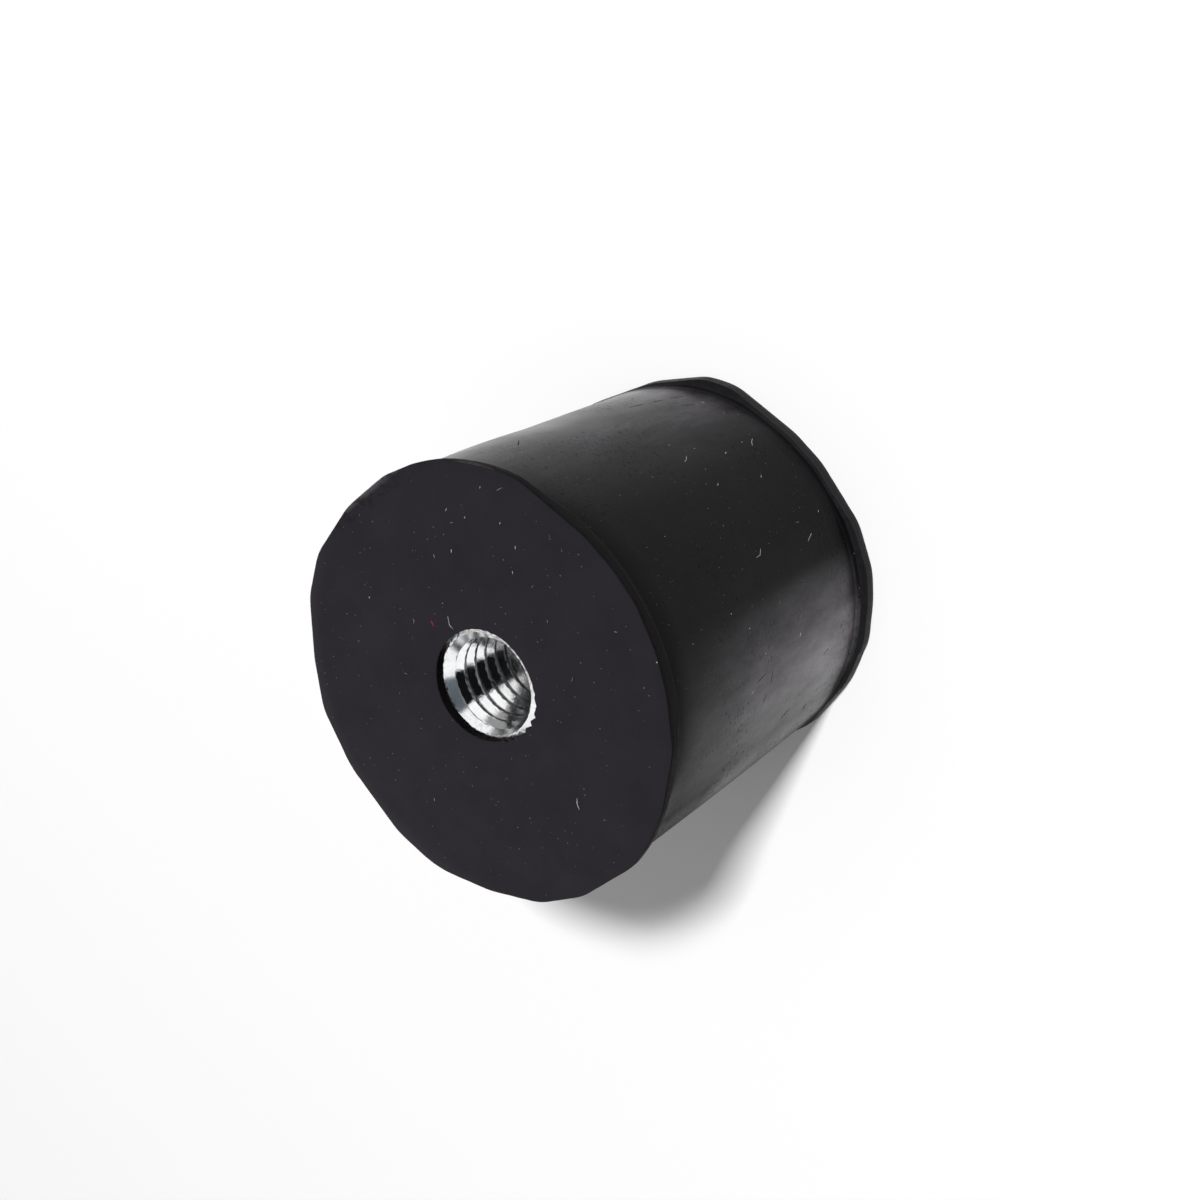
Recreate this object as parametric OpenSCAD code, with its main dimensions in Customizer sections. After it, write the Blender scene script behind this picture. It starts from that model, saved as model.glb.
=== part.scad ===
// Cylindrical rubber mount with a threaded steel insert bonded into each end.
// Millimetres, +Z up, standing on its bottom end face at z = 0.

/* [Rubber cylinder] */
// diameter of the rubber cylinder at the top face
body_d = 40; // [34:1:60]
// how much narrower the cylinder is at the bottom face
taper = 0.8; // [0:0.1:1]
// height over both end faces
overall_h = 36; // [32:1:70]
// rubber left over the outer face of each insert
skin_thickness = 1; // [0.5:0.1:2]
// rubber left round the edge of each insert flange
edge_cover = 3; // [1.5:0.5:5]

/* [Flash rims] */
// how far the untrimmed moulding flash stands out from the cylinder
rim_reach = 0.85; // [0.8:0.05:1.6]
// thickness of the rim at the top face
top_rim_thickness = 0.8; // [0.5:0.1:1.5]
// thickness of the rim at the bottom face
bottom_rim_thickness = 1.3; // [0.5:0.1:2]
// hollow radius between a rim and the cylinder
rim_fillet = 0.8; // [0.4:0.1:1.4]

/* [Insert] */
// thickness of the flange
flange_thickness = 2; // [1.5:0.1:3]
// diameter of the hub that carries the thread
hub_d = 16; // [14:0.5:20]
// length of the insert, from its outer face to the end of the hub
insert_len = 14; // [14:0.5:15.5]
// hollow radius between flange and hub
hub_fillet = 1; // [0.5:0.1:2]
// chamfer on the inner end of the hub
hub_chamfer = 1; // [0.4:0.1:1.5]

/* [Thread] */
// nominal diameter of the thread
thread_d = 10; // [8:1:10]
// pitch of the thread
thread_pitch = 1.5; // [1:0.25:1.5]
// depth of the tapping hole, without its drill point
hole_depth = 10.5; // [6:0.5:10.5]
// diameter of the countersink at the outer face of the insert
countersink_d = 9.9; // [9.5:0.1:11.5]
// included angle of the countersink
countersink_angle = 80; // [60:5:120]
// gap left by the rubber skin round the countersink
skin_hole_gap = 0.55; // [0.1:0.05:0.8]

/* [Hidden] */

body_r = body_d / 2;
foot_r = body_r - taper / 2;
flange_d = body_d - 2 * edge_cover;
tap_d = thread_d - thread_pitch;
countersink_slope = tan(countersink_angle / 2);
countersink_depth = (countersink_d - tap_d) / 2 / countersink_slope;
skin_hole_d = countersink_d + 2 * skin_hole_gap;
drill_point_angle = 118;
drill_point_h = tap_d / 2 / tan(drill_point_angle / 2);
over = 0.5;

// knife flats of the top rim, each with its direction in degrees and the flash left standing
top_flats = [
    [4, 0.07], [15, 0.12], [29, 0.18], [39, 0.12], [49, 0.06], [94, 0.78],
    [104, 0.58], [117, 0.3], [130, 0.3], [150, 0.56], [168, 0.15], [176, 0.22],
    [198, 0.32], [214, 0.22], [230, 0.68], [254, 0.52], [264, 0.5], [283, 0.65],
    [299, 0.46], [316, 0.62], [326, 0.44], [338, 0.13], [355, 0.05]
];
// knife flats of the bottom rim
bottom_flats = [
    [8, 0.57], [26, 0.06], [38, 0.05], [48, 0.05], [91, 0.05], [104, 0.05],
    [119, 0.12], [138, 0.35], [160, 0.2], [183, 0.55], [206, 0.25], [228, 0.5],
    [250, 0.3], [269, 0.52], [285, 0.12], [298, 0.05], [311, 0.05], [328, 0.31],
    [345, 0.56], [353, 0.68]
];

// radius of the tapered cylinder at a height above the bottom face
function radius_at(height) = foot_r + (body_r - foot_r) * height / overall_h;

// half section of a rim whose outer face lies at height 0, on a cylinder of radius root_r
module rim_section(thickness, root_r) {
    difference() {
        translate([0, -thickness - rim_fillet])
            square([body_r + rim_reach, thickness + rim_fillet]);
        translate([root_r + rim_fillet, -thickness - rim_fillet])
            circle(r = rim_fillet, $fn = 32);
        translate([root_r + rim_fillet, -thickness - 2 * rim_fillet])
            square([rim_reach + over, 2 * rim_fillet]);
    }
}

// half section of the whole rubber cylinder with both rims, untrimmed
module body_section() {
    polygon([[0, 0], [foot_r, 0], [body_r, overall_h], [0, overall_h]]);
    translate([0, overall_h])
        rim_section(top_rim_thickness, radius_at(overall_h - top_rim_thickness - rim_fillet));
    mirror([0, 1])
        rim_section(bottom_rim_thickness, radius_at(bottom_rim_thickness + rim_fillet));
}

// slices that a knife takes off a rim whose outer face lies at height 0
module rim_trimmings(flats, thickness) {
    for (flat = flats)
        rotate([0, 0, flat[0]])
            translate([body_r + flat[1], -body_r, -thickness - rim_fillet - over])
                cube([rim_reach + over, body_d, thickness + rim_fillet + 2 * over]);
}

// half section of an insert without its hole, outer face at height 0
module insert_section() {
    difference() {
        polygon([
            [0, 0],
            [flange_d / 2, 0],
            [flange_d / 2, -flange_thickness],
            [hub_d / 2 + hub_fillet, -flange_thickness],
            [hub_d / 2 + hub_fillet, -flange_thickness - hub_fillet],
            [hub_d / 2, -flange_thickness - hub_fillet],
            [hub_d / 2, -insert_len + hub_chamfer],
            [hub_d / 2 - hub_chamfer, -insert_len],
            [0, -insert_len]
        ]);
        translate([hub_d / 2 + hub_fillet, -flange_thickness - hub_fillet])
            circle(r = hub_fillet, $fn = 32);
    }
}

// half section of the countersunk tapping hole, mouth at height 0
module hole_section() {
    polygon([
        [0, over],
        [countersink_d / 2 + over * countersink_slope, over],
        [tap_d / 2, -countersink_depth],
        [tap_d / 2, -hole_depth],
        [0, -hole_depth - drill_point_h]
    ]);
}

// stand a child on the outer face of the top insert
module at_top_insert() {
    translate([0, 0, overall_h - skin_thickness])
        children();
}

// stand a child on the outer face of the bottom insert, turned to face down
module at_bottom_insert() {
    translate([0, 0, skin_thickness])
        mirror([0, 0, 1])
            children();
}

// room that an insert and the hole through the skin take out of the rubber
module insert_room() {
    rotate_extrude($fn = 96)
        insert_section();
    translate([0, 0, -over])
        cylinder(d = skin_hole_d, h = over + skin_thickness + over, $fn = 96);
}

module insert() {
    difference() {
        rotate_extrude($fn = 96)
            insert_section();
        rotate_extrude($fn = 96)
            hole_section();
    }
}

module rubber_body() {
    color([0.16, 0.16, 0.17])
        difference() {
            rotate_extrude($fn = 120)
                body_section();
            translate([0, 0, overall_h])
                rim_trimmings(top_flats, top_rim_thickness);
            mirror([0, 0, 1])
                rim_trimmings(bottom_flats, bottom_rim_thickness);
            at_top_insert()
                insert_room();
            at_bottom_insert()
                insert_room();
        }
}

module top_insert() {
    color([0.78, 0.79, 0.8])
        at_top_insert()
            insert();
}

module bottom_insert() {
    color([0.78, 0.79, 0.8])
        at_bottom_insert()
            insert();
}

rubber_body();
top_insert();
bottom_insert();
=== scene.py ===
import math

import bpy
import numpy as np
from mathutils import Matrix, Vector


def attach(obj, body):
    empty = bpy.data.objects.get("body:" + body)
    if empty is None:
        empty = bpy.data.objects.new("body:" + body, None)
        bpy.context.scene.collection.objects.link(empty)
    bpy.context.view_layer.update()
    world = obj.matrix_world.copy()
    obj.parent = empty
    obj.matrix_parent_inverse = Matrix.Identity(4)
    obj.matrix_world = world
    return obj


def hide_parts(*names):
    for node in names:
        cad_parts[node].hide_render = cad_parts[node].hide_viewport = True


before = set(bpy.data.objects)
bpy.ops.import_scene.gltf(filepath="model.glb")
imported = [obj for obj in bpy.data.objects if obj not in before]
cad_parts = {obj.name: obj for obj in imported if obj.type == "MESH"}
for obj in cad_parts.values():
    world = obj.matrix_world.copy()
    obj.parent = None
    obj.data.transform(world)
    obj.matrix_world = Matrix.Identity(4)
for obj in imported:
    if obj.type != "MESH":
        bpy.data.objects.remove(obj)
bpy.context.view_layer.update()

MM = 0.001

# Sizes of the mount in millimetres, the same as in the solids
BODY_R = 20.0
FOOT_R = 19.6
HEIGHT = 36.0
SKIN = 1.0
RIM_REACH = 0.85
RIM_FILLET = 0.8
TOP_RIM = 0.8
BOTTOM_RIM = 1.3
FLANGE_R = 17.0
FLANGE_T = 2.0
HUB_R = 8.0
HUB_FILLET = 1.0
HUB_CHAMFER = 1.0
INSERT_LEN = 14.0
TAP_R = 4.25
HOLE_DEPTH = 10.5
CONE_SLOPE = math.tan(math.radians(40))
DRILL_SLOPE = math.tan(math.radians(59))
SKIN_HOLE_R = 5.5
PITCH = 1.5

# Countersink, burrs and thread as they are drawn here; the solids have a plain countersunk hole
COUNTERSINK_R = 4.93
MINOR_R = 4.1
MAJOR_R = 4.72
THREAD_CREST = 0.17
THREAD_ROOT = 0.09
THREAD_START = 0.06
RUN_OUT_END = 0.6
RUN_OUT_LENGTH = 1.2
INSERT_AROUND = 240
INSERT_STEPS = 230
LAND_R = 6.4
LAND_STEPS = (1.15, 0.9, 0.7, 0.5, 0.35, 0.2, 0.08)
BURR = 0.03
HUB_FILLET_MIDDLE = 0.29
CONE_TOP = 0.04
CONE_START = 0.08

# Knife flats of each rim: direction in degrees, flash left standing in millimetres
TOP_FLATS = [
    (4, 0.07), (15, 0.12), (29, 0.18), (39, 0.12), (49, 0.06), (94, 0.78),
    (104, 0.58), (117, 0.3), (130, 0.3), (150, 0.56), (168, 0.15), (176, 0.22),
    (198, 0.32), (214, 0.22), (230, 0.68), (254, 0.52), (264, 0.5), (283, 0.65),
    (299, 0.46), (316, 0.62), (326, 0.44), (338, 0.13), (355, 0.05),
]
# The cuts at 102, 290 and 313 degrees go deeper here than in the solids
BOTTOM_FLATS = [
    (8, 0.57), (26, 0.06), (38, 0.05), (48, 0.05), (90, 0.05), (102, -0.29),
    (119, 0.12), (138, 0.35), (160, 0.2), (183, 0.55), (206, 0.25), (228, 0.5),
    (250, 0.3), (269, 0.52), (290, -0.64), (313, -0.1), (328, 0.31),
    (345, 0.56), (353, 0.68),
]
FLAT_REACH = math.radians(50)
PAST_ANY_RIM = 99.0
KNIFE_WAVER = 0.03

# Edge of the hole torn through the top skin: direction in degrees, radius in millimetres
TOP_HOLE = [
    (0, 6.06), (25, 5.98), (50, 5.92), (65, 5.76), (80, 5.58), (95, 5.4),
    (110, 5.2), (130, 5.06), (165, 4.98), (200, 5.03), (240, 5.0), (265, 5.06),
    (285, 5.12), (298, 5.3), (311, 5.58), (325, 5.94), (345, 6.14),
]
# Foot of that hole, where the rubber meets the insert
TOP_FOOT = [
    (0, 5.9), (60, 5.8), (95, 5.5), (117, 5.3), (129, 5.12), (141, 5.03),
    (155, 5.0), (190, 5.0), (215, 5.03), (233, 5.1), (245, 5.2), (260, 5.27),
    (274, 5.4), (290, 5.45), (300, 5.55), (315, 5.8), (345, 5.9),
]

# Unevenness of the rubber in millimetres; a place is a direction and a width in degrees
SIDE_WAVE = 0.025
SIDE_BULGE = 0.12
UPPER_BULGE = 0.2
UPPER_BULGE_PLACE = (108, 60)
RIM_LEAN = 0.04
RIM_EDGE_DEPTH = 0.13
FACE_SAG = 0.045
FACE_WAVE = 0.012
HOLE_LIP = 0.04
HOLE_LIP_WAVE = 0.025
HOLE_TEETH = 0.16
HOLE_RIPPLE = 0.32
HOLE_WAVE = 0.05
MOST_TORN_PLACE = (315, 62)
LESS_TORN_PLACE = (55, 50)
LESS_TORN = 0.08
LEAST_TORN = 0.05

# Order of the materials on the rubber
SIDE, FACE, CUT, LINT, RED_LINT, DRAG_MARK, TORN, FAR_RIM = range(8)

# Rings and bands of the rubber
AROUND = 720
MOUTH_WALL_RINGS = 3
RIM_RINGS = 12
FACE_RINGS_ON_RIM = 2
FAR_RIM_BANDS = range(3, 9)
TOP_FACE_STEPS = 16
BOTTOM_FACE_STEPS = 10
SIDE_STEPS = 18

# Fibres that stand out on the top face: middle in millimetres, direction in degrees, length, bend
FACE_FIBRES = [
    ((-1.7, 6), -70, 1.6, -0.4),
    ((7, 18), 15, 1.1, 0.1),
    ((8.5, -10.5), -90, 1.1, -0.2),
]
RED_FIBRE = ((-4, 6), -70, 0.6, 0.1)

# Drag lines on the side: start and end as direction in degrees and height, and the number of dashes
DRAG_LINES = [
    ((80, 11), (74, 3.5), 3),
    ((70, 7), (67.5, 5), 1),
    ((85, 26), (81, 28), 1),
]
DASH_SHARE = 0.75

# Degrees of direction in a millimetre round the side, exact and rounded for the fine hairs
DEGREES_PER_MM = math.degrees(1 / BODY_R)
HAIR_DEGREES_PER_MM = 2.86

# Torn sliver of flash on the edge of the top rim: directions in degrees, radius, dip of its left end
SLIVER_FROM = 71
SLIVER_TO = 87
SLIVER_R = 20.75
SLIVER_DIP = 0.4

# How many bits of lint, short marks and fine hairs are strewn
FACE_BITS = 7
SIDE_BITS = 7
LOW_MARKS = 6
HAIRS = 46
HAIRS_ON_FACE = 12

# Half width and half height of each kind of litter, and how deep it sits, in millimetres
FIBRE_SIZE = (0.045, 0.03)
RED_FIBRE_SIZE = (0.05, 0.03)
SLIVER_SIZE = (0.22, 0.03)
DRAG_SIZE = (0.09, 0.03)
SIDE_BIT_SIZE = (0.035, 0.04)
LOW_MARK_SIZE = (0.05, 0.03)
FACE_HAIR_SIZE = (0.018, 0.02)
SIDE_HAIR_SIZE = (0.018, 0.03)
FACE_SINK = 0.047
SIDE_SINK = 0.005

# Steps along a strip of litter, and the blunt end of its taper in radians
STRAND_STEPS = 8
STRAND_END = 0.12

phi = np.linspace(0, 2 * math.pi, AROUND, endpoint=False)


def level_ring(depth):
    """The same depth all round."""
    return np.full(AROUND, depth)


def ripple(seed, waves, low=1):
    """A smooth closed wave round the axis, between about -1 and 1."""
    rng = np.random.default_rng(seed)
    out = np.zeros(AROUND)
    for k in range(low, low + waves):
        out += rng.normal() * np.cos(k * phi + rng.uniform(0, 2 * math.pi))
    return out / np.abs(out).max()


def bump_at(angle, width):
    """A smooth hump round the axis, 1 at the angle and 0 past the width, both in degrees."""
    gap = (np.degrees(phi) - angle + 180) % 360 - 180
    return np.where(np.abs(gap) < width, 0.5 + 0.5 * np.cos(gap / width * math.pi), 0.0)


def smooth(values, reach):
    """The values round the axis, each averaged with its neighbours on both sides."""
    return sum(np.roll(values, k) for k in range(-reach, reach + 1)) / (2 * reach + 1)


def rim_outline(flats, seed):
    """Radius of a hand-trimmed rim all round, with the knife's small waver."""
    edge = np.full(AROUND, BODY_R + RIM_REACH)
    for angle, left in flats:
        gap = (phi - math.radians(angle) + math.pi) % (2 * math.pi) - math.pi
        near = np.abs(gap) < FLAT_REACH
        flat = np.where(near, (BODY_R + left) / np.cos(np.where(near, gap, 0)), PAST_ANY_RIM)
        edge = np.minimum(edge, flat)
    edge = smooth(smooth(edge, 4), 3)
    return edge - KNIFE_WAVER * (0.5 + 0.5 * ripple(seed, 60, 20))


def body_radius(height):
    """Radius of the slightly tapered body at a height above the bottom face."""
    return FOOT_R + (BODY_R - FOOT_R) * height / HEIGHT


def side_radius(height):
    """Radius of the side all round at a height, with its slight bulge and waves."""
    side_height = HEIGHT - TOP_RIM - BOTTOM_RIM - 2 * RIM_FILLET
    share = (HEIGHT - TOP_RIM - RIM_FILLET - height) / side_height
    middle = math.sin(share * math.pi)
    wave = SIDE_WAVE * middle * (ripple(40, 5) * (1 - share) + ripple(42, 5) * share - 1)
    upper = math.sin(min(1, share * 2) * math.pi)
    bulge = SIDE_BULGE * middle + UPPER_BULGE * upper * bump_at(*UPPER_BULGE_PLACE)
    return body_radius(height) + wave + bulge


def rim_rings(edge, thickness, root_r, seed):
    """Rings of a rim from its end face to the body of radius root_r, as (radius, depth below the face)."""
    stand = edge - root_r
    lean = RIM_LEAN + RIM_LEAN * ripple(seed, 9)
    rings = [
        (edge - 0.22, level_ring(0.0)),
        (edge - 0.12, level_ring(0.015)),
        (edge - 0.045, level_ring(0.05)),
        (edge - 0.005, level_ring(RIM_EDGE_DEPTH)),
    ]
    full = np.arccos(np.clip(1 - stand / RIM_FILLET, 0, 1))
    low = thickness + RIM_FILLET - RIM_FILLET * np.sin(full)
    rings.append((edge - lean * 0.5, RIM_EDGE_DEPTH + (low - RIM_EDGE_DEPTH) * 0.5))
    rings.append((edge - lean, low - 0.04))
    for share in (1.0, 0.8, 0.6, 0.4, 0.2, 0.0):
        turn = full * share
        radius = root_r + RIM_FILLET * (1 - np.cos(turn))
        radius = np.minimum(radius, edge - lean)
        rings.append((radius, thickness + RIM_FILLET - RIM_FILLET * np.sin(turn)))
    return rings


def round_hole(points):
    """Radius all round, through points of (direction in degrees, radius)."""
    turns, radii = zip(*points)
    return smooth(np.interp(np.degrees(phi), turns, radii, period=360), 8)


def top_hole_edge():
    """Radius of the torn edge of the hole through the top skin, all round."""
    teeth = smooth(smooth(np.random.default_rng(4).uniform(-1, 1, AROUND), 2), 1)
    torn = LEAST_TORN + bump_at(*MOST_TORN_PLACE) + LESS_TORN * bump_at(*LESS_TORN_PLACE)
    ragged = HOLE_TEETH * teeth + HOLE_RIPPLE * ripple(11, 18, 30) + HOLE_WAVE * ripple(13, 8, 12)
    return round_hole(TOP_HOLE) + torn * ragged


def hole_rings(edge, foot, seed):
    """Rings of the hole through the skin, from the insert up to the end face."""
    lip = HOLE_LIP + HOLE_LIP_WAVE * ripple(seed, 40, 5)
    return [
        (foot, level_ring(SKIN)),
        (edge * 0.35 + foot * 0.65, level_ring(SKIN * 0.66)),
        (edge * 0.7 + foot * 0.3, level_ring(SKIN * 0.33)),
        (edge + lip * 0.3, level_ring(0.09)),
        (edge + lip * 1.5, level_ring(0.03)),
        (edge + lip * 3.0, level_ring(0.02)),
    ]


def cavity_rings():
    """Rings of the room that an insert fills, from the hub's end to the skin."""
    fillet = []
    for turn in (0, 30, 60, 90):
        t = math.radians(turn)
        radius = HUB_R + HUB_FILLET * (1 - math.cos(t))
        fillet.append((radius, FLANGE_T + HUB_FILLET * (1 - math.sin(t))))
    points = [
        (HUB_R - HUB_CHAMFER, INSERT_LEN),
        (HUB_R, INSERT_LEN - HUB_CHAMFER),
        *fillet,
        (FLANGE_R, FLANGE_T),
        (FLANGE_R, 0.0),
    ]
    return [(level_ring(r), level_ring(d + SKIN)) for r, d in points]


def end_rings(edge, hole, foot, thickness, root_r, seed, face_steps):
    """All rings of one end, from the inner end of the hub room to the cylinder."""
    mouth = hole_rings(hole, foot, seed + 1)
    rim = rim_rings(edge, thickness, root_r, seed + 2)
    inner = mouth[-1][0]
    outer = rim[0][0]
    face = []
    for i in range(1, face_steps):
        s = i / face_steps
        level = min(1.0, 0.6 + s * 6, (1 - s) * 8)
        wave = FACE_WAVE * math.sin(s * math.pi) * ripple(seed + 10 + i // 4, 5)
        sag = FACE_SAG * level + wave
        face.append((inner + (outer - inner) * s, sag))
    return cavity_rings() + mouth + face + rim


def strand(places, outs, half_width, half_height):
    """A thin closed strip along places on a surface, as points and faces in millimetres."""
    places = np.array(places, float)
    outs = np.array(outs, float)
    count = STRAND_STEPS + 1
    spread = np.linspace(0, len(places) - 1, count)
    old = np.arange(len(places))
    line = np.stack([np.interp(spread, old, places[:, k]) for k in range(3)], 1)
    out = np.stack([np.interp(spread, old, outs[:, k]) for k in range(3)], 1)
    along = np.gradient(line, axis=0)
    across = np.cross(along, out)
    across /= np.linalg.norm(across, axis=1)[:, None]
    taper = np.sqrt(np.sin(np.linspace(STRAND_END, math.pi - STRAND_END, count)))[:, None]
    wide = across * half_width * taper
    tall = out * half_height * taper
    corners = [np.stack([p + w, p + t, p - w, p - t]) for p, w, t in zip(line, wide, tall)]
    last = 4 * STRAND_STEPS
    faces = [(3, 2, 1, 0), (last, last + 1, last + 2, last + 3)]
    for i in range(STRAND_STEPS):
        for k in range(4):
            a = 4 * i + k
            b = 4 * i + (k + 1) % 4
            faces.append((a, b, b + 4, a + 4))
    return np.concatenate(corners), faces


def on_face(points, size, material):
    """A strip on the top face through points across it, as (points, faces, material)."""
    places = [(x, y, HEIGHT - FACE_SINK) for x, y in points]
    return *strand(places, [(0, 0, 1)] * len(points), *size), material


def on_side(points, size, material):
    """A strip on the side through points of (direction in degrees, height)."""
    turns = [math.radians(a) for a, z in points]
    outs = [(math.cos(t), math.sin(t), 0) for t in turns]
    places = []
    for (a, z), (c, s, level) in zip(points, outs):
        radius = np.interp(a, np.degrees(phi), side_radius(z), period=360) - SIDE_SINK
        places.append((radius * c, radius * s, z))
    return *strand(places, outs, *size), material


def curved(middle, turn, length, bend):
    """Three points of a short bent line; the bend is a share of half its length."""
    t = math.radians(turn)
    step = np.array([math.cos(t), math.sin(t)]) * length / 2
    aside = np.array([-step[1], step[0]]) * bend
    middle = np.array(middle, float)
    return [middle - step, middle + aside, middle + step]


def curved_on_side(middle, turn, length, bend, degrees_per_mm):
    """The same line on the side, as directions in degrees and heights."""
    line = curved((0, 0), turn, length, bend)
    return [np.array(middle) + point * (degrees_per_mm, 1) for point in line]


def on_circle(radius, turn):
    """Point across the face at a radius and a direction in radians."""
    return radius * math.cos(turn), radius * math.sin(turn)


def sliver_line():
    """Points along the torn sliver, from its right end to the left end that dips inwards."""
    line = []
    for share in np.linspace(0, 1, 5):
        turn = math.radians(SLIVER_FROM + (SLIVER_TO - SLIVER_FROM) * share)
        line.append(on_circle(SLIVER_R - SLIVER_DIP * share ** 4, turn))
    return line


def dashes(start, end, count):
    """A line on the side cut into dashes with short gaps between them."""
    start = np.array(start, float)
    step = (np.array(end, float) - start) / count
    return [[start + step * i, start + step * (i + DASH_SHARE)] for i in range(count)]


def strewn_bits():
    """Short lint above the hole and on the side, and short marks low on the right."""
    found = []
    rng = np.random.default_rng(21)
    for i in range(FACE_BITS):
        turn = math.radians(rng.uniform(50, 90))
        middle = on_circle(rng.uniform(11, 19), turn)
        line = curved(middle, rng.uniform(45, 80), rng.uniform(0.2, 0.4), 0)
        found.append(on_face(line, FIBRE_SIZE, LINT))
    for i in range(SIDE_BITS):
        middle = (rng.uniform(15, 65), rng.uniform(6, 24))
        turn = rng.uniform(-80, -40)
        length = rng.uniform(0.2, 1.4)
        line = curved_on_side(middle, turn, length, rng.uniform(-0.4, 0.4), DEGREES_PER_MM)
        found.append(on_side(line, SIDE_BIT_SIZE, LINT))
    for i in range(LOW_MARKS):
        middle = (rng.uniform(-35, -9), rng.uniform(7, 24))
        turn = rng.uniform(-90, 30)
        line = curved_on_side(middle, turn, rng.uniform(0.6, 2), 0, DEGREES_PER_MM)
        found.append(on_side(line, LOW_MARK_SIZE, DRAG_MARK))
    return found


def strewn_hairs():
    """Fine hairs all over the top face and the side."""
    found = []
    rng = np.random.default_rng(8)
    for i in range(HAIRS):
        length = rng.uniform(0.12, 0.6)
        turn = math.degrees(rng.uniform(0, 2 * math.pi))
        bend = rng.uniform(-0.3, 0.3)
        if i < HAIRS_ON_FACE:
            middle = on_circle(rng.uniform(7.5, 18.5), rng.uniform(0, 2 * math.pi))
            found.append(on_face(curved(middle, turn, length, bend), FACE_HAIR_SIZE, LINT))
        else:
            middle = (rng.uniform(0, 360), rng.uniform(4, 32))
            line = curved_on_side(middle, turn, length, bend, HAIR_DEGREES_PER_MM)
            found.append(on_side(line, SIDE_HAIR_SIZE, LINT))
    return found


def litter():
    """Lint, red lint, the sliver and drag marks, as (points, faces, material) on the rubber."""
    found = [on_face(curved(*fibre), FIBRE_SIZE, LINT) for fibre in FACE_FIBRES]
    found.append(on_face(sliver_line(), SLIVER_SIZE, TORN))
    found.append(on_face(curved(*RED_FIBRE), RED_FIBRE_SIZE, RED_LINT))
    for drag_line in DRAG_LINES:
        found.extend(on_side(line, DRAG_SIZE, DRAG_MARK) for line in dashes(*drag_line))
    return found + strewn_bits() + strewn_hairs()


def add_object(name, data):
    """A new object in the scene."""
    obj = bpy.data.objects.new(name, data)
    bpy.context.collection.objects.link(obj)
    return obj


def smooth_mesh(name, verts, faces, sharp_degrees):
    """A mesh with smooth shading and sharp creases."""
    mesh = bpy.data.meshes.new(name)
    mesh.from_pydata(verts, [], faces)
    mesh.shade_smooth()
    mesh.set_sharp_from_angle(angle=math.radians(sharp_degrees))
    return mesh


def tube_faces(around, ring_count):
    """Faces of a closed tube of rings, with its first and its last vertex as poles."""
    last_ring = 1 + (ring_count - 1) * around
    last_pole = last_ring + around
    faces = [(0, 1 + j, 1 + (j + 1) % around) for j in range(around)]
    for a in range(1, last_ring, around):
        b = a + around
        for j in range(around):
            n = (j + 1) % around
            faces.append((a + j, b + j, b + n, a + n))
    faces.extend((last_ring + j, last_pole, last_ring + (j + 1) % around) for j in range(around))
    return faces


def shell(name, rings, first_pole, last_pole, marks, extras):
    """A closed mesh of revolution through rings of (radius, height); marks gives each band's material."""
    verts = [(0, 0, first_pole)]
    for radius, height in rings:
        verts.extend(zip(radius * np.cos(phi), radius * np.sin(phi), height))
    verts.append((0, 0, last_pole))
    faces = tube_faces(AROUND, len(rings))
    slots = []
    for mark in (SIDE, *marks[:len(rings) - 1], SIDE):
        slots.extend([mark] * AROUND)
    for points, loops, slot in extras:
        first = len(verts)
        verts.extend(points)
        faces.extend(tuple(first + k for k in loop) for loop in loops)
        slots.extend([slot] * len(loops))
    verts = [tuple(float(c) * MM for c in v) for v in verts]
    mesh = smooth_mesh(name, verts, faces, 32)
    mesh.polygons.foreach_set("material_index", slots)
    return add_object(name, mesh)


def make_rubber():
    """The rubber body with trimmed rims, ragged holes and the rooms of both inserts."""
    top_edge = rim_outline(TOP_FLATS, 3)
    bottom_edge = rim_outline(BOTTOM_FLATS, 5)
    top_hole = top_hole_edge()
    top_foot = round_hole(TOP_FOOT)
    bottom_hole = SKIN_HOLE_R + 0.08 * np.cos(phi - 2.0) + 0.03 * ripple(12, 60, 12)
    top_root = body_radius(HEIGHT - TOP_RIM - RIM_FILLET)
    bottom_root = body_radius(BOTTOM_RIM + RIM_FILLET)
    top = end_rings(top_edge, top_hole, top_foot, TOP_RIM, top_root, 20, TOP_FACE_STEPS)
    bottom = end_rings(
        bottom_edge, bottom_hole, bottom_hole, BOTTOM_RIM, bottom_root, 60, BOTTOM_FACE_STEPS
    )
    rings = [(r, HEIGHT - d) for r, d in top]
    marks = [SIDE] * len(top)
    face_start = len(cavity_rings()) + MOUTH_WALL_RINGS
    rim_start = len(top) - RIM_RINGS
    cut_start = rim_start + FACE_RINGS_ON_RIM
    for k in range(face_start, cut_start):
        marks[k] = FACE
    for k in range(cut_start, len(top) - 1):
        marks[k] = CUT
    side_top = top[-1][1].mean()
    side_bottom = bottom[-1][1].mean()
    for i in range(1, SIDE_STEPS):
        height = HEIGHT - side_top - i / SIDE_STEPS * (HEIGHT - side_top - side_bottom)
        rings.append((side_radius(height), level_ring(height)))
        marks.append(SIDE)
    rings.extend(reversed(bottom))
    low_marks = [SIDE] * len(bottom)
    for k in FAR_RIM_BANDS:
        low_marks[k] = FAR_RIM
    for k in range(FAR_RIM_BANDS.stop, len(bottom) - face_start - 1):
        low_marks[k] = FACE
    marks.extend(low_marks)
    return shell("rubber", rings, HEIGHT - SKIN - INSERT_LEN, SKIN + INSERT_LEN, marks, litter())


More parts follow.
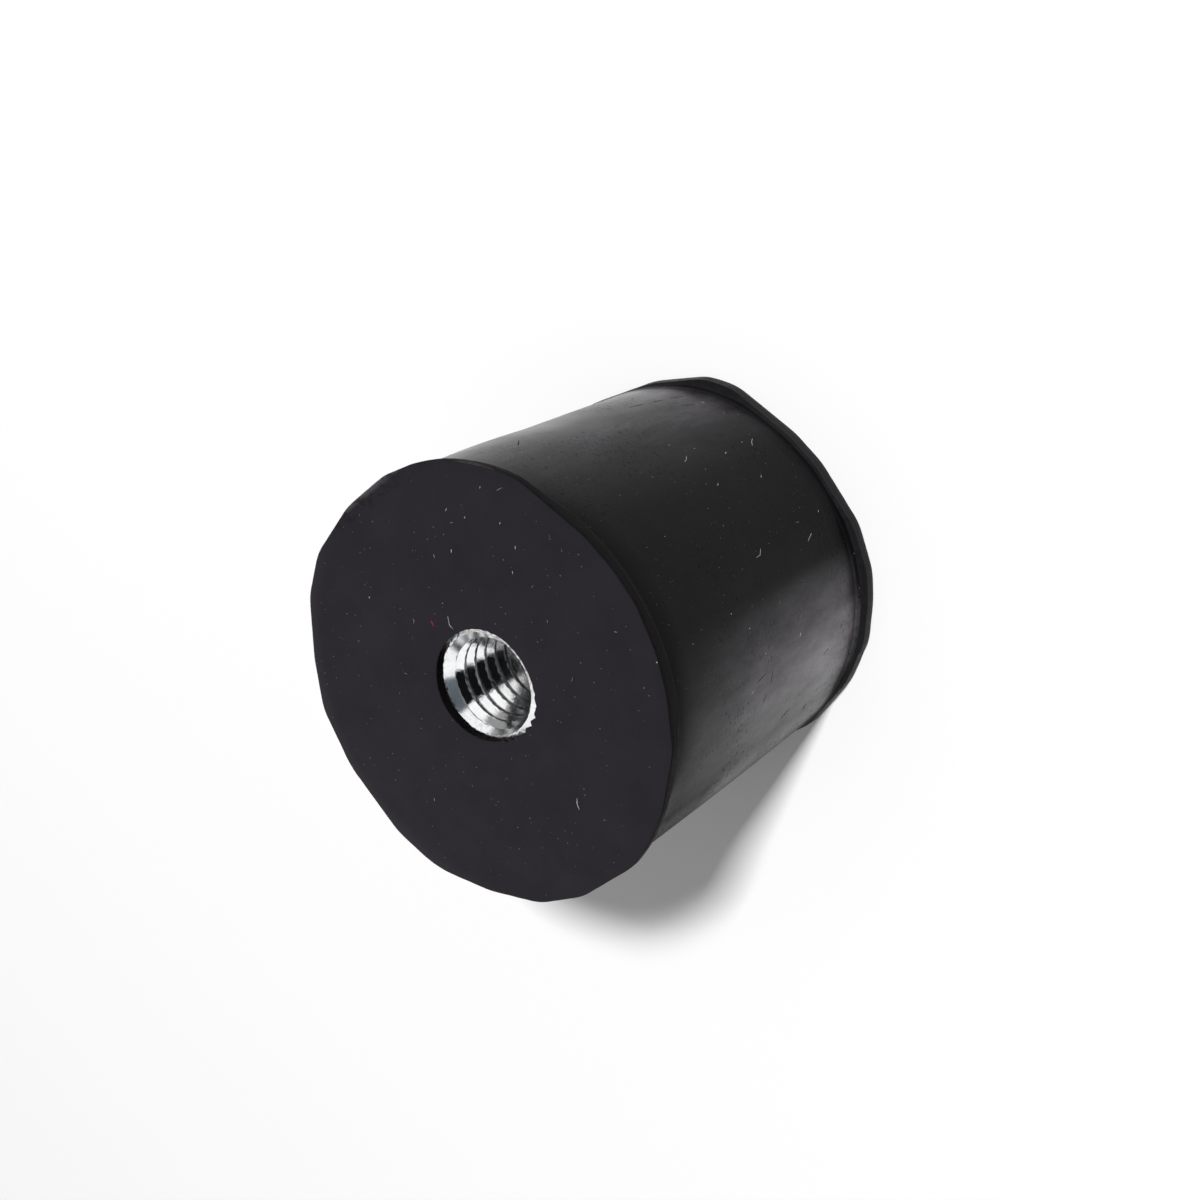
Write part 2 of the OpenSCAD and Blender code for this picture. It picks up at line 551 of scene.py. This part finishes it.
def thread_radius(depth, angle):
    """Radius of the right-hand internal thread: crest, flank, root, flank, running out at the end."""
    flank = (1 - THREAD_CREST - THREAD_ROOT) / 2
    turns = -(depth / PITCH + angle / (2 * math.pi) + THREAD_START)
    u = turns - np.floor(turns)
    up = np.clip((u - THREAD_CREST) / flank, 0, 1)
    down = np.clip((u - THREAD_CREST - flank - THREAD_ROOT) / flank, 0, 1)
    root_depth = depth + (u - THREAD_CREST - flank - THREAD_ROOT / 2) * PITCH
    run_out = np.clip((HOLE_DEPTH - RUN_OUT_END - root_depth) / RUN_OUT_LENGTH, 0, 1)
    return MINOR_R + (MAJOR_R - MINOR_R) * (up - down) * run_out


def insert_rings(angle):
    """Rings of an insert from the hub's end over the flange into the hole, as (radius, depth)."""
    around = len(angle)
    burr = np.random.default_rng(6)
    rim = COUNTERSINK_R + BURR * burr.uniform(-1, 1, around)
    points = [
        (HUB_R - HUB_CHAMFER, INSERT_LEN),
        (HUB_R, INSERT_LEN - HUB_CHAMFER),
        (HUB_R, FLANGE_T + HUB_FILLET),
        (HUB_R + HUB_FILLET_MIDDLE, FLANGE_T + HUB_FILLET_MIDDLE),
        (HUB_R + HUB_FILLET, FLANGE_T),
        (FLANGE_R, FLANGE_T),
        (FLANGE_R, 0.0),
        (LAND_R, 0.0),
    ]
    rings = [(np.full(around, r), np.full(around, d)) for r, d in points]
    for out in LAND_STEPS:
        rings.append((rim + out, BURR * burr.uniform(-1, 1, around) + 0.01))
    rings.append((rim + 0.02, np.full(around, 0.02)))
    rings.append((rim, np.full(around, CONE_TOP)))
    for d in np.linspace(CONE_START, HOLE_DEPTH, INSERT_STEPS):
        cone = COUNTERSINK_R - (d - CONE_TOP) * CONE_SLOPE
        thread = thread_radius(np.full(around, d), angle)
        rings.append((np.maximum(cone, thread), np.full(around, d)))
    return rings


def make_insert(name, face_z, way):
    """A steel insert with countersink and thread; way is 1 for the top end, -1 for the bottom."""
    angle = np.linspace(0, 2 * math.pi, INSERT_AROUND, endpoint=False)
    rings = insert_rings(angle)
    verts = [(0, 0, INSERT_LEN)]
    for radius, depth in rings:
        verts.extend(zip(radius * np.cos(angle), radius * np.sin(angle), depth))
    verts.append((0, 0, HOLE_DEPTH + TAP_R / DRILL_SLOPE))
    verts = [(float(x) * MM, float(y) * MM, float(face_z - way * d) * MM) for x, y, d in verts]
    faces = [(f[0], *reversed(f[1:])) for f in tube_faces(INSERT_AROUND, len(rings))]
    if way < 0:
        faces = [tuple(reversed(f)) for f in faces]
    return add_object(name, smooth_mesh(name, verts, faces, 28))


# Directions of the masks in the materials, seen from the axis
DOWN = (0, 0, -1)
UP = (0, 0, 1)
SHINY_WAY = (0.94, -0.342, 0.0)
UPPER_WAY = (-0.087, 0.996, 0.0)
UNDER_WAY = (0.574, -0.819, 0.0)
LEFT_EDGE_HIGHLIGHT_WAY = (-0.966, -0.259, 0)
BRIGHT_EDGE_WAY = (-0.438, 0.899, 0)
DIRTY_LAND_WAY = (0.5, 0.866, 0)

# Where each mask of the rubber starts and ends along its direction, in millimetres
FAR_SPAN = (-34, -3)
SHINY_SPAN = (17.1, 19.7)
UPPER_SPAN = (11, 19.9)
UNDER_SPAN = (16.5, 19.2)
UNDER_HEIGHTS = (6, 26)
ABOVE_FAR_RIM = (1.6, 2.4)
NEAR_RIM_SPAN = (31.8, 34.2)
LEFT_EDGE_HIGHLIGHT_RADII = (18.9, 20.3)
LEFT_EDGE_HIGHLIGHT_SPAN = (8, 16)
BRIGHT_EDGE_SPAN = (19.7, 20.4)
EDGE_DIRT_SPAN = (18.4, 19.2)

# How much of the gloss and shine is left in parts of the side
SHINE = 0.62
UPPER_SHINE = 0.05
UNDER_SHINE = 0.05
DULL_GLOSS = 0.05
FAR_GLOSS = 0.62
NEAR_RIM_DULLNESS = 0.6
DENT_GLOSS = 0.4
# Share of the painted sheen and its grey bloom left in the dents
DENT_SHEEN_AND_BLOOM = 0.5

# Parts of the zinc: radii from the axis, and distances from the middle of the mount, in millimetres
ROOT_RADII = (4.6, 4.7)
LAND_RADII = (4.93, 4.98)
LAND_LEVELS = (16.95, 16.99)
INSIDE_LEVELS = (15, 15.6)
DEEP_LEVELS = (7.5, 12.5)
CONE_LEVELS = (15.6, 16)
DIRTY_LAND_SPAN = (1, 4)

# Noises of the materials: scale per metre, detail, roughness
MOTTLE = (220, 6, 0.6)
WEAR = (130, 6, 0.65)
WAVES = (260, 4, 0.5)
GRAIN = (2600, 5, 0.65)
CLOUDS = (260, 7, 0.68)
DENTS = (5500, 2, 0.5)
DENT_PATCHES = (140, 3, 0.5)
EDGE_DIRT = (900, 5, 0.7)
FINE_MOTTLE = (1500, 4, 0.6)
ZINC_CLOUDS = (900, 5, 0.6)
HOLLOW_SHADE_PATCHES = (1400, 5, 0.7)
STAINS = (1100, 6, 0.7)
LAND_DIRT = (1800, 5, 0.7)

# Dust on the rubber: cell and size in millimetres, share of all dust, faintest, strongest, colour
FINE_DUST = (0.34, 0.052, 1.0, 0.02, 0.4, (0.4, 0.38, 0.37))
WARM_DUST = (0.8, 0.07, 0.5, 0.1, 0.4, (0.3, 0.12, 0.08))
COARSE_DUST = (1.1, 0.085, 0.35, 0.06, 0.9, (0.55, 0.55, 0.56))
SPECK_WARP_SCALE = 4000.0
SPECK_WARP = 0.12 * MM
SMALLEST_SPECK = 0.45
SPECK_TONE_POWER = 3.0

# Colours of wear and dirt, and of painted sheen, highlight and shade
# Painted sheen with some grey bloom, on the shiny side towards the far end and along the upper band
SHEEN_AND_BLOOM = (0.108, 0.096, 0.108)
# Painted highlight on the left edge of the end face
LEFT_EDGE_HIGHLIGHT = (0.023, 0.021, 0.025)
BRIGHT_EDGE = (0.09, 0.084, 0.094)
DARK_DIRT = (0.005, 0.0046, 0.005)
RUBBER_TINT = (0.98, 0.93, 1.0, 1.0)
ZINC = (0.97, 0.972, 0.975)
DULL_ZINC = (0.88, 0.885, 0.9)
# Painted shade, brownish, in the roots of the thread and deep in the hole
HOLLOW_SHADE = (0.07, 0.055, 0.045)
BLUE_STAIN = (0.3, 0.33, 0.4)
BROWN_DIRT = (0.16, 0.13, 0.11)


def new_material(name):
    """A material with its node tree, its shader and the object's own coordinates."""
    mat = bpy.data.materials.new(name)
    mat.use_nodes = True
    tree = mat.node_tree
    shader = tree.nodes["Principled BSDF"]
    coords = tree.nodes.new("ShaderNodeTexCoord")
    return mat, tree, shader, coords.outputs["Object"]


def noise(tree, where, scale, detail, rough):
    """A cloudy value between 0 and 1."""
    node = tree.nodes.new("ShaderNodeTexNoise")
    node.inputs["Scale"].default_value = scale
    node.inputs["Detail"].default_value = detail
    node.inputs["Roughness"].default_value = rough
    tree.links.new(where, node.inputs["Vector"])
    return node.outputs["Fac"]


def ramp(tree, value, low, high, out_low, out_high):
    """The value carried from one range to another, and held at its ends."""
    node = tree.nodes.new("ShaderNodeMapRange")
    node.inputs["From Min"].default_value = low
    node.inputs["From Max"].default_value = high
    node.inputs["To Min"].default_value = out_low
    node.inputs["To Max"].default_value = out_high
    tree.links.new(value, node.inputs["Value"])
    return node.outputs["Result"]


def ramp_mm(tree, value, span, out_low, out_high):
    """A ramp over a distance whose span is given in millimetres."""
    low, high = span
    return ramp(tree, value, low * MM, high * MM, out_low, out_high)


def math_node(tree, kind, a, b):
    """A sum, product or like step on two values, each a number or another node's output."""
    node = tree.nodes.new("ShaderNodeMath")
    node.operation = kind
    for socket, value in ((node.inputs[0], a), (node.inputs[1], b)):
        if isinstance(value, (int, float)):
            socket.default_value = value
        else:
            tree.links.new(value, socket)
    return node.outputs[0]


def plus(tree, a, b):
    """The sum of two values."""
    return math_node(tree, "ADD", a, b)


def times(tree, a, b):
    """The product of two values."""
    return math_node(tree, "MULTIPLY", a, b)


def larger(tree, a, b):
    """The larger of two values."""
    return math_node(tree, "MAXIMUM", a, b)


def rest_of(tree, value):
    """What is missing from the value to 1."""
    return math_node(tree, "SUBTRACT", 1.0, value)


def mix_colour(tree, factor, a, b):
    """Colour a where the factor is 0 and colour b where it is 1."""
    node = tree.nodes.new("ShaderNodeMix")
    node.data_type = "RGBA"
    tree.links.new(factor, node.inputs["Factor"])
    for socket, value in ((node.inputs["A"], a), (node.inputs["B"], b)):
        if isinstance(value, tuple):
            socket.default_value = (*value, 1.0)
        else:
            tree.links.new(value, socket)
    return node.outputs["Result"]


def split_xyz(tree, where):
    """The three coordinates of a place, by name."""
    node = tree.nodes.new("ShaderNodeSeparateXYZ")
    tree.links.new(where, node.inputs[0])
    return node.outputs


def stretched(tree, where, factors):
    """The place with each coordinate multiplied by its own factor."""
    node = tree.nodes.new("ShaderNodeVectorMath")
    node.operation = "MULTIPLY"
    node.inputs[1].default_value = factors
    tree.links.new(where, node.inputs[0])
    return node.outputs[0]


def distance_along(tree, where, way):
    """How far a place lies along a direction."""
    node = tree.nodes.new("ShaderNodeVectorMath")
    node.operation = "DOT_PRODUCT"
    tree.links.new(where, node.inputs[0])
    node.inputs[1].default_value = way
    return node.outputs["Value"]


def facing(tree, where, way, span):
    """A soft mask, rising from 0 to 1 over a span in millimetres along a direction."""
    return ramp_mm(tree, distance_along(tree, where, way), span, 0, 1)


def add_bump(tree, shader, height, strength, distance):
    """Fine relief on a material."""
    bump = tree.nodes.new("ShaderNodeBump")
    bump.inputs["Strength"].default_value = strength
    bump.inputs["Distance"].default_value = distance
    tree.links.new(height, bump.inputs["Height"])
    tree.links.new(bump.outputs["Normal"], shader.inputs["Normal"])


def specks(tree, where, cell_mm, size_mm, share):
    """Small uneven specks: a mask and a random value for each."""
    warp = tree.nodes.new("ShaderNodeTexNoise")
    warp.inputs["Scale"].default_value = SPECK_WARP_SCALE
    tree.links.new(where, warp.inputs["Vector"])
    shift = tree.nodes.new("ShaderNodeVectorMath")
    shift.operation = "MULTIPLY_ADD"
    shift.inputs[1].default_value = (SPECK_WARP, SPECK_WARP, SPECK_WARP)
    tree.links.new(warp.outputs["Color"], shift.inputs[0])
    tree.links.new(where, shift.inputs[2])
    node = tree.nodes.new("ShaderNodeTexVoronoi")
    node.inputs["Scale"].default_value = 1000.0 / cell_mm
    tree.links.new(shift.outputs[0], node.inputs["Vector"])
    split = tree.nodes.new("ShaderNodeSeparateColor")
    tree.links.new(node.outputs["Color"], split.inputs["Color"])
    largest = size_mm / cell_mm
    size = ramp(tree, split.outputs["Green"], 0, 1, largest * SMALLEST_SPECK, largest)
    near = math_node(tree, "LESS_THAN", node.outputs["Distance"], size)
    chosen = math_node(tree, "LESS_THAN", split.outputs["Red"], share)
    tone = math_node(tree, "POWER", split.outputs["Blue"], SPECK_TONE_POWER)
    return times(tree, near, chosen), tone


def dusted(tree, where, colour, dust_share, dust):
    """The colour with one kind of dust on it, and the mask of that dust."""
    cell, size, share, faintest, strongest, dust_colour = dust
    mask, tone = specks(tree, where, cell, size, dust_share * share)
    mask = times(tree, mask, ramp(tree, tone, 0, 1, faintest, strongest))
    return mix_colour(tree, mask, colour, dust_colour), mask


def streaks(tree, where):
    """Short dents round the side of the mount, gathered in patches."""
    place = split_xyz(tree, where)
    round_axis = math_node(tree, "ARCTAN2", place["Y"], place["X"])
    flat = tree.nodes.new("ShaderNodeCombineXYZ")
    tree.links.new(times(tree, round_axis, 0.006), flat.inputs["X"])
    tree.links.new(place["Z"], flat.inputs["Y"])
    lines = ramp(tree, noise(tree, flat.outputs[0], *DENTS), 0.61, 0.67, 0, 1)
    patches = ramp(tree, noise(tree, where, *DENT_PATCHES), 0.46, 0.6, 0.1, 1)
    return times(tree, lines, patches)


def side_finish(tree, where, gloss):
    """Painted sheen with some grey bloom, and the shine of the side: a mask for that painted sheen and the
    specular level.
    """
    drawn = stretched(tree, where, (1, 1, 0.4))
    cloud = ramp(tree, noise(tree, drawn, *CLOUDS), 0.3, 0.7, 0.5, 1.08)
    far = facing(tree, where, DOWN, FAR_SPAN)
    right = times(tree, facing(tree, where, SHINY_WAY, SHINY_SPAN), cloud)
    right = times(tree, math_node(tree, "POWER", right, 1.7), far)
    upper = times(tree, facing(tree, where, UPPER_WAY, UPPER_SPAN), cloud)
    upper = math_node(tree, "POWER", upper, 2.2)
    above = times(tree, upper, ramp(tree, far, 0, 1, 0.2, 0.7))
    # Painted sheen with some grey bloom: on the shiny side towards the far end and on the upper band
    sheen_and_bloom = larger(tree, right, above)
    sheen_and_bloom = times(tree, sheen_and_bloom, facing(tree, where, UP, ABOVE_FAR_RIM))
    under = facing(tree, where, UNDER_WAY, UNDER_SPAN)
    lit = times(tree, right, ramp(tree, under, 0, 0.8, 1, UNDER_SHINE))
    under = times(tree, under, facing(tree, where, UP, UNDER_HEIGHTS))
    near_rim = facing(tree, where, UP, NEAR_RIM_SPAN)
    dull = larger(tree, under, times(tree, near_rim, NEAR_RIM_DULLNESS))
    plain = ramp(tree, dull, 0, 1, gloss, gloss * DULL_GLOSS)
    plain = times(tree, plain, ramp(tree, far, 0.4, 1, 1, FAR_GLOSS))
    shine = times(tree, lit, SHINE)
    shine = plus(tree, shine, times(tree, times(tree, upper, far), UPPER_SHINE))
    return sheen_and_bloom, plus(tree, plain, shine)


def highlight_and_worn_edge(tree, where, colour):
    """The face's colour with a painted highlight on the left edge, a lighter worn edge and a dirty patch
    above it.
    """
    length = tree.nodes.new("ShaderNodeVectorMath")
    length.operation = "LENGTH"
    tree.links.new(stretched(tree, where, (1, 1, 0)), length.inputs[0])
    # Painted highlight on the left edge of the face, lighter than the face's rubber
    left_edge_highlight = ramp_mm(tree, length.outputs["Value"], LEFT_EDGE_HIGHLIGHT_RADII, 0, 1)
    left_edge_highlight = times(tree, left_edge_highlight, facing(tree, where, LEFT_EDGE_HIGHLIGHT_WAY, LEFT_EDGE_HIGHLIGHT_SPAN))
    colour = mix_colour(tree, left_edge_highlight, colour, LEFT_EDGE_HIGHLIGHT)
    edge = facing(tree, where, BRIGHT_EDGE_WAY, BRIGHT_EDGE_SPAN)
    colour = mix_colour(tree, edge, colour, BRIGHT_EDGE)
    patchy = ramp(tree, noise(tree, where, *EDGE_DIRT), 0.5, 0.62, 0, 0.7)
    dirt = times(tree, facing(tree, where, BRIGHT_EDGE_WAY, EDGE_DIRT_SPAN), patchy)
    return mix_colour(tree, dirt, colour, DARK_DIRT)


def rubber_material(name, dark, light, rough_low, rough_high, gloss, dust_share, marked):
    """Dusty black rubber; marked adds the painted sheen with some grey bloom, the shine and the dents of
    the side.
    """
    mat, tree, shader, where = new_material(name)
    mottle = noise(tree, where, *MOTTLE)
    colour = mix_colour(tree, ramp(tree, mottle, 0.35, 0.65, 0, 1), dark, light)
    if marked:
        lines = streaks(tree, where)
        sheen_and_bloom, level = side_finish(tree, where, gloss)
        level = times(tree, level, ramp(tree, lines, 0, 1, 1, DENT_GLOSS))
        sheen_and_bloom = times(tree, sheen_and_bloom, ramp(tree, lines, 0, 1, 1, DENT_SHEEN_AND_BLOOM))
        tree.links.new(level, shader.inputs["Specular IOR Level"])
        # Painted sheen with some grey bloom, mixed into the colour
        colour = mix_colour(tree, sheen_and_bloom, colour, SHEEN_AND_BLOOM)
    else:
        shader.inputs["Specular IOR Level"].default_value = gloss
        colour = highlight_and_worn_edge(tree, where, colour)
    for dust in (FINE_DUST, WARM_DUST, COARSE_DUST):
        colour, coarse = dusted(tree, where, colour, dust_share, dust)
    tree.links.new(colour, shader.inputs["Base Color"])
    rough = ramp(tree, noise(tree, where, *WEAR), 0.32, 0.68, rough_low, rough_high)
    height = noise(tree, where, *WAVES)
    height = plus(tree, height, times(tree, noise(tree, where, *GRAIN), 0.3))
    height = plus(tree, height, times(tree, coarse, 1.5))
    if marked:
        rough = plus(tree, rough, times(tree, lines, 0.45))
        height = math_node(tree, "SUBTRACT", height, times(tree, lines, 0.6))
    tree.links.new(rough, shader.inputs["Roughness"])
    shader.inputs["Specular Tint"].default_value = RUBBER_TINT
    add_bump(tree, shader, height, 0.22, 0.06 * MM)
    return mat


def plain_material(name, dark, light, rough, gloss):
    """A matt material with a fine mottle, for lint and cut rubber."""
    mat, tree, shader, where = new_material(name)
    cloud = noise(tree, where, *FINE_MOTTLE)
    colour = mix_colour(tree, ramp(tree, cloud, 0.35, 0.65, 0, 1), dark, light)
    tree.links.new(colour, shader.inputs["Base Color"])
    tree.links.new(ramp(tree, cloud, 0.3, 0.7, rough - 0.1, rough + 0.1), shader.inputs["Roughness"])
    shader.inputs["Specular IOR Level"].default_value = gloss
    return mat


def zinc_material():
    """Bright zinc plating, dull and with painted brownish shade in the roots of the thread and deep in the
    hole.
    """
    mat, tree, shader, where = new_material("bright_zinc")
    shader.inputs["Metallic"].default_value = 1.0
    place = split_xyz(tree, where)
    across = math_node(tree, "POWER", place["X"], 2.0)
    squares = plus(tree, across, math_node(tree, "POWER", place["Y"], 2.0))
    radius = math_node(tree, "SQRT", squares, 0.0)
    above_middle = math_node(tree, "SUBTRACT", place["Z"], HEIGHT / 2 * MM)
    off_middle = math_node(tree, "ABSOLUTE", above_middle, 0.0)
    cloud = noise(tree, where, *ZINC_CLOUDS)
    colour = mix_colour(tree, ramp(tree, cloud, 0.35, 0.7, 0, 1), ZINC, DULL_ZINC)
    inside = ramp_mm(tree, off_middle, INSIDE_LEVELS, 1, 0)
    # Painted shade: dark brown in the roots of the thread, and at half strength deep in the hole
    root = times(tree, ramp_mm(tree, radius, ROOT_RADII, 0, 1), inside)
    deep = ramp_mm(tree, off_middle, DEEP_LEVELS, 0.5, 0)
    patchy = ramp(tree, noise(tree, where, *HOLLOW_SHADE_PATCHES), 0.35, 0.65, 0.55, 1)
    hollow_shade = times(tree, larger(tree, root, deep), patchy)
    colour = mix_colour(tree, hollow_shade, colour, HOLLOW_SHADE)
    land = ramp_mm(tree, radius, LAND_RADII, 0, 1)
    land = times(tree, land, ramp_mm(tree, off_middle, LAND_LEVELS, 0, 1))
    cone = times(tree, ramp_mm(tree, off_middle, CONE_LEVELS, 0, 1), rest_of(tree, land))
    stain = ramp(tree, noise(tree, where, *STAINS), 0.48, 0.7, 0, 0.3)
    colour = mix_colour(tree, times(tree, stain, cone), colour, BLUE_STAIN)
    dirty = times(tree, facing(tree, where, DIRTY_LAND_WAY, DIRTY_LAND_SPAN), land)
    patchy = ramp(tree, noise(tree, where, *LAND_DIRT), 0.42, 0.56, 0.2, 0.85)
    colour = mix_colour(tree, times(tree, dirty, patchy), colour, BROWN_DIRT)
    tree.links.new(colour, shader.inputs["Base Color"])
    rough = ramp(tree, cloud, 0.3, 0.7, 0.04, 0.1)
    for part, rise in ((hollow_shade, 0.25), (cone, 0.1), (land, 0.25)):
        rough = plus(tree, rough, times(tree, part, rise))
    tree.links.new(rough, shader.inputs["Roughness"])
    relief = plus(tree, ramp(tree, land, 0, 1, 1, 4), inside)
    add_bump(tree, shader, times(tree, noise(tree, where, *GRAIN), relief), 0.2, 0.03 * MM)
    return mat


# Rubber: dark and light colour, roughness, gloss, and for the moulded skin its dust and marks
rubber = make_rubber()
side_dark = (0.0028, 0.0027, 0.0031)
side_light = (0.004, 0.0039, 0.0044)
face_dark = (0.013, 0.0119, 0.015)
face_light = (0.016, 0.0145, 0.018)
for coat in (
    rubber_material("rubber_side", side_dark, side_light, 0.18, 0.3, 0.052, 0.3, True),
    rubber_material("rubber_face", face_dark, face_light, 0.5, 0.62, 0.1, 0.14, False),
    plain_material("cut_rubber", (0.0035, 0.0034, 0.0038), (0.006, 0.0057, 0.006), 0.55, 0.03),
    plain_material("lint", (0.2, 0.185, 0.165), (0.45, 0.43, 0.4), 0.8, 0.2),
    plain_material("red_lint", (0.2, 0.016, 0.012), (0.32, 0.032, 0.025), 0.8, 0.2),
    plain_material("drag_mark", (0.004, 0.0036, 0.0036), (0.012, 0.01, 0.01), 0.8, 0.02),
    plain_material("torn_rubber", (0.012, 0.011, 0.012), (0.035, 0.033, 0.034), 0.5, 0.2),
    plain_material("rim_rubber", (0.008, 0.0076, 0.0085), (0.012, 0.0114, 0.0126), 0.5, 0.07),
):
    rubber.data.materials.append(coat)
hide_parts("rubber_body")
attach(rubber, "root")

# Inserts
zinc = zinc_material()
for name, node, face_z, way in (
    ("top_thread", "top_insert", HEIGHT - SKIN, 1),
    ("bottom_thread", "bottom_insert", SKIN, -1),
):
    piece = make_insert(name, face_z, way)
    piece.data.materials.append(zinc)
    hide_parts(node)
    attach(piece, "root")

# Floor: white paper that keeps the shadow, with a slight glow where it is seen
FLOOR_HALF = 2.0
PAPER = (0.88, 0.88, 0.88, 1)
PAPER_GLOW = 0.05
corners = [(x * FLOOR_HALF, y * FLOOR_HALF, 0) for x, y in ((-1, -1), (1, -1), (1, 1), (-1, 1))]
floor_mesh = bpy.data.meshes.new("floor")
floor_mesh.from_pydata(corners, [], [(0, 1, 2, 3)])
floor = add_object("floor", floor_mesh)
paper = bpy.data.materials.new("paper")
paper.use_nodes = True
tree = paper.node_tree
tree.nodes.clear()
surface = tree.nodes.new("ShaderNodeOutputMaterial")
diffuse = tree.nodes.new("ShaderNodeBsdfDiffuse")
diffuse.inputs["Color"].default_value = PAPER
glow = tree.nodes.new("ShaderNodeEmission")
ray = tree.nodes.new("ShaderNodeLightPath").outputs
seen = larger(tree, ray["Is Camera Ray"], ray["Is Glossy Ray"])
seen = larger(tree, seen, ray["Is Transmission Ray"])
tree.links.new(times(tree, seen, PAPER_GLOW), glow.inputs["Strength"])
add = tree.nodes.new("ShaderNodeAddShader")
tree.links.new(diffuse.outputs[0], add.inputs[0])
tree.links.new(glow.outputs[0], add.inputs[1])
tree.links.new(add.outputs[0], surface.inputs["Surface"])
floor_mesh.materials.append(paper)

# World: soft even light, white to the camera; reflections see a dark, bluish side and a dim one
UNLIT_EDGES = ((0.339, 0.909, 0.246), (0.701, -0.7, 0.135))
UNLIT_TINT = (0.72, 0.86, 1.0)
WHITE = (1.0, 1.0, 1.0)
DIM_WAY = (-0.7123, -0.4983, 0.4937)
SOFT_LIGHT = 0.26
scene = bpy.context.scene
world = bpy.data.worlds.new("studio")
scene.world = world
world.use_nodes = True
tree = world.node_tree
back = tree.nodes["Background"]
ray = tree.nodes.new("ShaderNodeLightPath").outputs
sky = tree.nodes.new("ShaderNodeTexCoord").outputs["Generated"]
direction = split_xyz(tree, sky)
unlit = ramp(tree, direction["Z"], 0.6, 0.65, 0.84, 0.994)
for edge in UNLIT_EDGES:
    unlit = times(tree, unlit, ramp(tree, distance_along(tree, sky, edge), 0.0, 0.05, 0, 1))
dim = ramp(tree, distance_along(tree, sky, DIM_WAY), 0.0, 0.03, 0, 0.7)
dim = times(tree, dim, ramp(tree, direction["Y"], 0.0, 0.2, 0, 1))
reflected = times(tree, ray["Is Glossy Ray"], rest_of(tree, larger(tree, unlit, dim)))
seen = larger(tree, ray["Is Camera Ray"], ray["Is Transmission Ray"])
strength = ramp(tree, seen, 0, 1, SOFT_LIGHT, 1.0)
strength = times(tree, strength, rest_of(tree, ray["Is Glossy Ray"]))
tree.links.new(larger(tree, strength, reflected), back.inputs["Strength"])
tint = times(tree, unlit, ray["Is Glossy Ray"])
tree.links.new(mix_colour(tree, tint, WHITE, UNLIT_TINT), back.inputs["Color"])

# Key lamp: a small square behind the camera, at its upper left, in metres
KEY_PLACE = Vector((0.9505, 1.1738, 1.8651))
KEY_SIZE = 0.26
KEY_POWER = 62.9
lamp = bpy.data.lights.new("key", "AREA")
lamp.shape = "RECTANGLE"
lamp.size = KEY_SIZE
lamp.size_y = KEY_SIZE
lamp.energy = KEY_POWER
key = add_object("key", lamp)
key.location = KEY_PLACE
key.rotation_mode = "QUATERNION"
key.rotation_quaternion = (-KEY_PLACE).to_track_quat("-Z", "Y")
key.visible_glossy = False

# Camera: fitted to the outline of the photograph, place in millimetres and focal length in pixels
CAMERA_PLACE = Vector((102.8137, 44.2776, 147.7328))
CAMERA_RIGHT = Vector((0.8014745, -0.1836098, -0.5691450))
CAMERA_UP = Vector((0.0, 0.9517015, -0.3070249))
CAMERA_LOOK = Vector((-0.5980289, -0.2460726, -0.7627645))
FOCAL_PIXELS = 1777.85
PHOTO_PIXELS = 1200.0
SENSOR_WIDTH = 36.0
camera = bpy.data.cameras.new("camera")
camera.sensor_width = SENSOR_WIDTH
camera.lens = SENSOR_WIDTH * FOCAL_PIXELS / PHOTO_PIXELS
camera.clip_start = 0.01
camera.clip_end = 10.0
view = add_object("camera", camera)
turn = Matrix((CAMERA_RIGHT, CAMERA_UP, -CAMERA_LOOK)).transposed()
view.matrix_world = Matrix.Translation(CAMERA_PLACE * MM) @ turn.to_4x4()
scene.camera = view
scene.view_settings.view_transform = "Standard"
